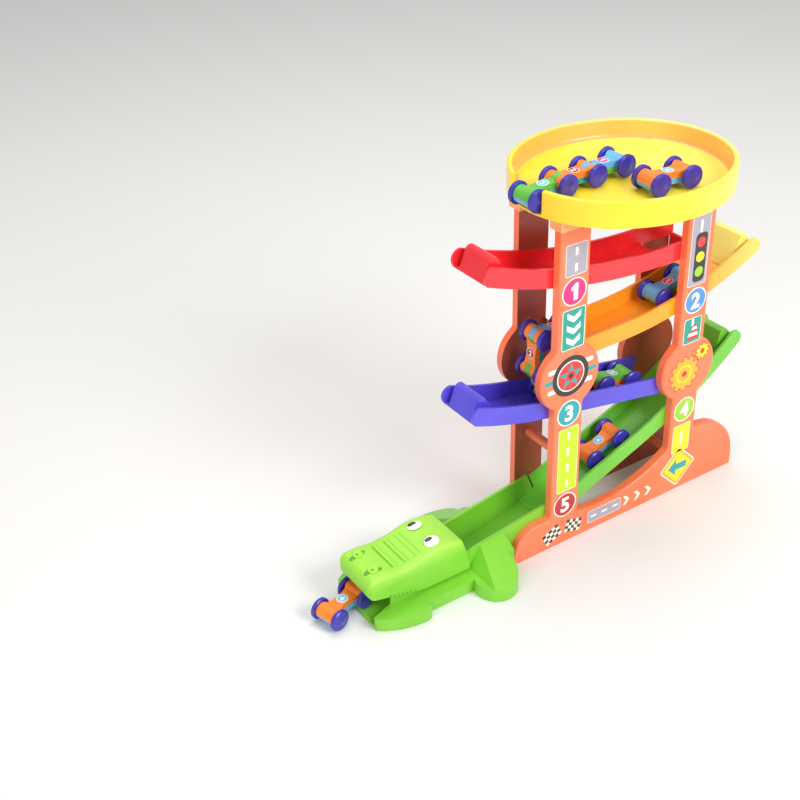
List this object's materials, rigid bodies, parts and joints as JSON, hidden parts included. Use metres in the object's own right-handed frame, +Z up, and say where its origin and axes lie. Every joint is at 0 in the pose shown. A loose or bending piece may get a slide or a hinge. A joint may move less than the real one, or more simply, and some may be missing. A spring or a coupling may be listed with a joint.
{
  "type": "toy_car_ramp",
  "caption": "Toy car ramp: tray on two side panels, zigzag rails, crocodile run-out and small axle cars",
  "frame": {"origin": "On the ground, midway between the side panels and midway along the toy's length", "axes": "+Z up, +X towards the high ends of the orange and green rails, +Y towards the rear panel"},
  "size_m": [0.4802, 0.18, 0.3582],
  "materials": {
    "coral_plastic": "smooth coral orange",
    "yellow_plastic": "smooth warm yellow",
    "red_plastic": "smooth red",
    "orange_plastic": "smooth amber orange",
    "violet_plastic": "smooth violet blue",
    "green_plastic": "smooth mid green",
    "lime_plastic": "smooth lime green",
    "blue_plastic": "smooth light blue",
    "teal_plastic": "smooth teal",
    "axle_steel": "plain drawn steel"
  },
  "bodies": {
    "tower": {"croc_base": "lime_plastic", "croc_head": "lime_plastic", "cross_rod_left": "coral_plastic", "cross_rod_right": "coral_plastic", "panel_front": "coral_plastic", "panel_rear": "coral_plastic", "rail_blue": "violet_plastic", "rail_green": "green_plastic", "rail_orange": "orange_plastic", "rail_red": "red_plastic", "tray": "yellow_plastic"},
    "chain_lead": {"chain_lead_top": "green_plastic", "chain_lead_bottom": "blue_plastic"},
    "chain_middle": {"chain_middle_top": "orange_plastic", "chain_middle_bottom": "teal_plastic"},
    "chain_tail": {"chain_tail_top": "blue_plastic", "chain_tail_bottom": "green_plastic"},
    "chain_wheelset_1": {"chain_wheels_1": "violet_plastic", "chain_axle_1": "axle_steel"},
    "chain_wheelset_2": {"chain_wheels_2": "violet_plastic", "chain_axle_2": "axle_steel"},
    "chain_wheelset_3": {"chain_wheels_3": "violet_plastic", "chain_axle_3": "axle_steel"},
    "chain_wheelset_4": {"chain_wheels_4": "violet_plastic", "chain_axle_4": "axle_steel"},
    "tray_car_body": {"tray_car_top": "orange_plastic", "tray_car_bottom": "blue_plastic"},
    "tray_car_rolling_1": {"tray_car_wheelset_1": "violet_plastic"},
    "tray_car_rolling_2": {"tray_car_wheelset_2": "violet_plastic"},
    "flip_chain_lead": {"flip_chain_lead_top": "green_plastic", "flip_chain_lead_bottom": "orange_plastic"},
    "flip_chain_middle": {"flip_chain_middle_top": "orange_plastic", "flip_chain_middle_bottom": "teal_plastic"},
    "flip_chain_tail": {"flip_chain_tail_top": "blue_plastic", "flip_chain_tail_bottom": "green_plastic"},
    "flip_chain_wheelset_1": {"flip_chain_wheels_1": "violet_plastic", "flip_chain_axle_1": "axle_steel"},
    "flip_chain_wheelset_2": {"flip_chain_wheels_2": "violet_plastic", "flip_chain_axle_2": "axle_steel"},
    "flip_chain_wheelset_3": {"flip_chain_wheels_3": "violet_plastic", "flip_chain_axle_3": "axle_steel"},
    "flip_chain_wheelset_4": {"flip_chain_wheels_4": "violet_plastic", "flip_chain_axle_4": "axle_steel"},
    "mouth_car_body": {"mouth_car_top": "orange_plastic", "mouth_car_bottom": "blue_plastic"},
    "mouth_car_rolling_1": {"mouth_car_wheelset_1": "violet_plastic"},
    "mouth_car_rolling_2": {"mouth_car_wheelset_2": "violet_plastic"},
    "orange_rail_car_body": {"orange_rail_car_top": "blue_plastic", "orange_rail_car_bottom": "green_plastic"},
    "orange_rail_car_rolling_1": {"orange_rail_car_wheelset_1": "violet_plastic"},
    "orange_rail_car_rolling_2": {"orange_rail_car_wheelset_2": "violet_plastic"},
    "blue_rail_car_body": {"blue_rail_car_top": "green_plastic", "blue_rail_car_bottom": "orange_plastic"},
    "blue_rail_car_rolling_1": {"blue_rail_car_wheelset_1": "violet_plastic"},
    "blue_rail_car_rolling_2": {"blue_rail_car_wheelset_2": "violet_plastic"},
    "green_rail_car_body": {"green_rail_car_top": "orange_plastic", "green_rail_car_bottom": "blue_plastic"},
    "green_rail_car_rolling_1": {"green_rail_car_wheelset_1": "violet_plastic"},
    "green_rail_car_rolling_2": {"green_rail_car_wheelset_2": "violet_plastic"}
  },
  "joints": [
    {"name": "chain_lift", "type": "slide", "parent": "tower", "child": "chain_middle", "axis": [0, 0, 1], "range_m": [0, 0.025]},
    {"name": "chain_lead_hinge", "type": "hinge", "parent": "chain_middle", "child": "chain_lead", "pos_m": [0.0162, 0.00363, 0.34823], "axis": [-0.0558, 0.9984, 0], "range_deg": [0, 80]},
    {"name": "chain_tail_hinge", "type": "hinge", "parent": "chain_middle", "child": "chain_tail", "pos_m": [0.04915, 0.00547, 0.34823], "axis": [0.0558, -0.9984, 0], "range_deg": [0, 80]},
    {"name": "chain_spin_1", "type": "hinge", "parent": "chain_lead", "child": "chain_wheelset_1", "pos_m": [-0.01654, 0.0018, 0.34455], "axis": [-0.0558, 0.9984, 0], "continuous": true},
    {"name": "chain_spin_2", "type": "hinge", "parent": "chain_middle", "child": "chain_wheelset_2", "pos_m": [0.0162, 0.00363, 0.34823], "axis": [-0.0558, 0.9984, 0], "continuous": true},
    {"name": "chain_spin_3", "type": "hinge", "parent": "chain_middle", "child": "chain_wheelset_3", "pos_m": [0.04915, 0.00547, 0.34823], "axis": [-0.0558, 0.9984, 0], "continuous": true},
    {"name": "chain_spin_4", "type": "hinge", "parent": "chain_tail", "child": "chain_wheelset_4", "pos_m": [0.0821, 0.00732, 0.34823], "axis": [-0.0558, 0.9984, 0], "continuous": true},
    {"name": "tray_car_lift", "type": "slide", "parent": "tower", "child": "tray_car_body", "axis": [0, 0, 1], "range_m": [0, 0.025]},
    {"name": "tray_car_spin_1", "type": "hinge", "parent": "tray_car_body", "child": "tray_car_rolling_1", "pos_m": [0.07666, -0.041, 0.34825], "axis": [0.0523, 0.9986, 0], "continuous": true},
    {"name": "tray_car_spin_2", "type": "hinge", "parent": "tray_car_body", "child": "tray_car_rolling_2", "pos_m": [0.10962, -0.04273, 0.34825], "axis": [0.0523, 0.9986, 0], "continuous": true},
    {"name": "flip_chain_lift", "type": "slide", "parent": "tower", "child": "flip_chain_middle", "axis": [0, 0, 1], "range_m": [0, 0.015]},
    {"name": "flip_chain_lead_hinge", "type": "hinge", "parent": "flip_chain_middle", "child": "flip_chain_lead", "pos_m": [-0.00738, 0, 0.18021], "axis": [0, -1, 0], "range_deg": [0, 40]},
    {"name": "flip_chain_tail_hinge", "type": "hinge", "parent": "flip_chain_middle", "child": "flip_chain_tail", "pos_m": [-0.00393, 0, 0.21303], "axis": [0, -1, 0], "range_deg": [0, 50]},
    {"name": "flip_chain_spin_1", "type": "hinge", "parent": "flip_chain_lead", "child": "flip_chain_wheelset_1", "pos_m": [0.0076, 0, 0.15081], "axis": [0, 1, 0], "continuous": true},
    {"name": "flip_chain_spin_2", "type": "hinge", "parent": "flip_chain_middle", "child": "flip_chain_wheelset_2", "pos_m": [-0.00738, 0, 0.18021], "axis": [0, 1, 0], "continuous": true},
    {"name": "flip_chain_spin_3", "type": "hinge", "parent": "flip_chain_middle", "child": "flip_chain_wheelset_3", "pos_m": [-0.00393, 0, 0.21303], "axis": [0, 1, 0], "continuous": true},
    {"name": "flip_chain_spin_4", "type": "hinge", "parent": "flip_chain_tail", "child": "flip_chain_wheelset_4", "pos_m": [0.02894, 0, 0.21016], "axis": [0, 1, 0], "continuous": true},
    {"name": "mouth_car_roll", "type": "slide", "parent": "tower", "child": "mouth_car_body", "axis": [-0.9703, -0.2419, 0], "range_m": [0, 0.06]},
    {"name": "mouth_car_spin_1", "type": "hinge", "parent": "mouth_car_body", "child": "mouth_car_rolling_1", "pos_m": [-0.22724, 0.0003, 0.01025], "axis": [-0.2419, 0.9703, 0], "continuous": true},
    {"name": "mouth_car_spin_2", "type": "hinge", "parent": "mouth_car_body", "child": "mouth_car_rolling_2", "pos_m": [-0.19535, 0.00825, 0.01324], "axis": [-0.2419, 0.9703, 0], "continuous": true},
    {"name": "orange_rail_car_roll", "type": "hinge", "parent": "tower", "child": "orange_rail_car_body", "pos_m": [0.06999, 0, 0.566], "axis": [0, -1, 0], "range_deg": [0, 3.5]},
    {"name": "orange_rail_car_spin_1", "type": "hinge", "parent": "orange_rail_car_body", "child": "orange_rail_car_rolling_1", "pos_m": [0.13321, 0, 0.20921], "axis": [0, 1, 0], "continuous": true},
    {"name": "orange_rail_car_spin_2", "type": "hinge", "parent": "orange_rail_car_body", "child": "orange_rail_car_rolling_2", "pos_m": [0.16541, 0, 0.21645], "axis": [0, 1, 0], "continuous": true},
    {"name": "blue_rail_car_roll", "type": "slide", "parent": "tower", "child": "blue_rail_car_body", "axis": [-0.9839, 0, 0.1788], "range_m": [0, 0.035]},
    {"name": "blue_rail_car_spin_1", "type": "hinge", "parent": "blue_rail_car_body", "child": "blue_rail_car_rolling_1", "pos_m": [0.0686, 0, 0.13973], "axis": [0, 1, 0], "continuous": true},
    {"name": "blue_rail_car_spin_2", "type": "hinge", "parent": "blue_rail_car_body", "child": "blue_rail_car_rolling_2", "pos_m": [0.10107, 0, 0.13382], "axis": [0, 1, 0], "continuous": true},
    {"name": "green_rail_car_roll", "type": "slide", "parent": "tower", "child": "green_rail_car_body", "axis": [0.9317, 0, 0.3633], "range_m": [0, 0.018]},
    {"name": "green_rail_car_spin_1", "type": "hinge", "parent": "green_rail_car_body", "child": "green_rail_car_rolling_1", "pos_m": [0.06091, 0, 0.05996], "axis": [0, 1, 0], "continuous": true},
    {"name": "green_rail_car_spin_2", "type": "hinge", "parent": "green_rail_car_body", "child": "green_rail_car_rolling_2", "pos_m": [0.09165, 0, 0.07195], "axis": [0, 1, 0], "continuous": true}
  ]
}
